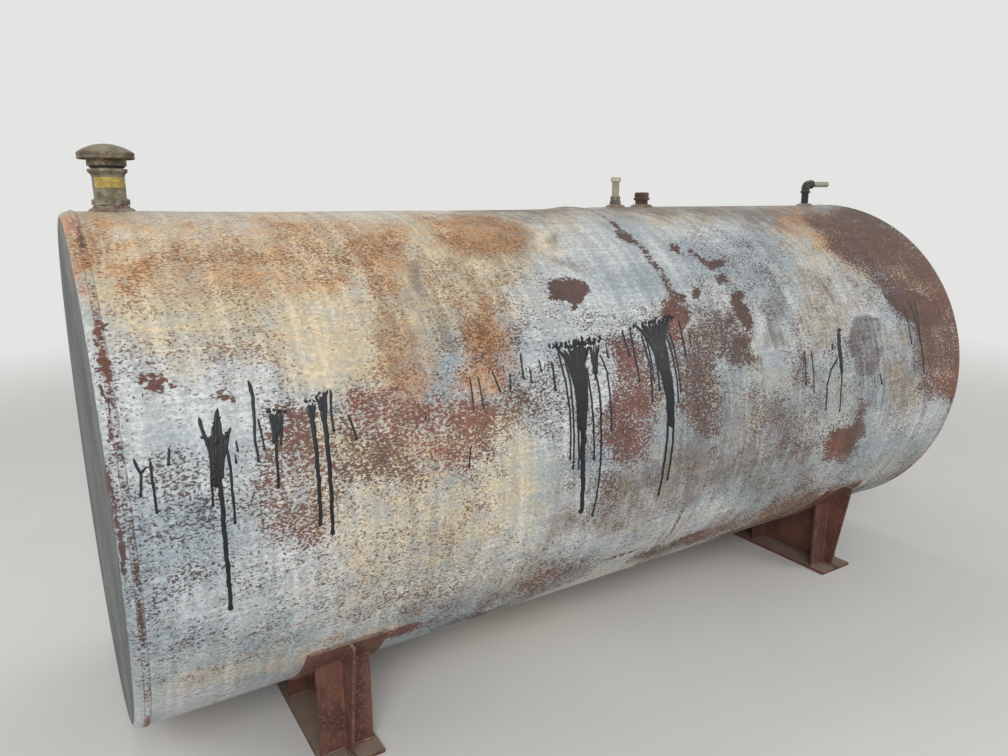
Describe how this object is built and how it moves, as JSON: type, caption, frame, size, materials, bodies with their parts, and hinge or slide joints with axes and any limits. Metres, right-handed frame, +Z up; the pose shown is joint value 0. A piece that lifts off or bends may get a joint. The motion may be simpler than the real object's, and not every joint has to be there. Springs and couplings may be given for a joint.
{
  "type": "horizontal storage tank on saddles",
  "caption": "Horizontal cylindrical steel storage tank with flat flanged heads, a lifting-lid emergency vent, level gauge, capped fill pipe and draw pipe on top, on low welded saddles.",
  "frame": {"origin": "on the floor under the middle of the tank: bottom centre of the whole part's box", "axes": "+X along the tank from the vent end to the draw-pipe end, -Y the front (the side in the picture), +Z up"},
  "size_m": [2.743, 1.2238, 1.4468],
  "materials": {
    "shell_paint": "weathered silver paint over red-brown primer, rusty",
    "head_paint": "weathered grey-green paint",
    "weld_paint": "painted weld bead, worn to primer",
    "bung_steel": "weathered paint and rust",
    "vent_casting": "dull cast, sand-cast skin",
    "lid_casting": "dull grey cast",
    "vent_brass": "dull",
    "yellow_label": "faded vinyl, blank",
    "seal_rubber": "matt",
    "stem_steel": "dull zinc",
    "gauge_metal": "dull die cast",
    "sight_plastic": "clouded clear plastic",
    "indicator_red": "faded",
    "gauge_cap_plastic": "chalky",
    "rusty_pipe": "rust-brown malleable iron",
    "dark_pipe": "dark, weathered black iron",
    "galvanised_pipe": "dull galvanised",
    "saddle_steel": "red-brown primer, weathered"
  },
  "bodies": {
    "tank": {"near_shell_course": "shell_paint", "far_shell_course": "shell_paint", "near_head": "head_paint", "far_head": "head_paint", "near_head_weld": "weld_paint", "far_head_weld": "weld_paint", "girth_weld": "weld_paint", "near_long_weld": "weld_paint", "far_long_weld": "weld_paint", "vent_bung": "bung_steel", "vent_body": "vent_casting", "vent_guide": "vent_brass", "vent_label": "yellow_label", "gauge_bung": "bung_steel", "gauge_body": "gauge_metal", "gauge_sight_tube": "sight_plastic", "gauge_indicator": "indicator_red", "gauge_cap": "gauge_cap_plastic", "fill_bung": "bung_steel", "fill_pipe": "rusty_pipe", "fill_cap": "rusty_pipe", "draw_bung": "bung_steel", "draw_riser": "dark_pipe", "draw_elbow": "dark_pipe", "draw_nipple": "galvanised_pipe", "near_saddle_wear_plate": "saddle_steel", "near_saddle_web": "saddle_steel", "near_saddle_base": "saddle_steel", "near_saddle_ribs": "saddle_steel", "far_saddle_wear_plate": "saddle_steel", "far_saddle_web": "saddle_steel", "far_saddle_base": "saddle_steel", "far_saddle_ribs": "saddle_steel"},
    "lid": {"vent_lid": "lid_casting", "vent_seal": "seal_rubber", "vent_stem": "stem_steel", "vent_stop_nut": "stem_steel"}
  },
  "joints": [
    {"name": "lid_lift", "type": "slide", "parent": "tank", "child": "lid", "axis": [0, 0, 1], "range_m": [0, 0.03]}
  ]
}
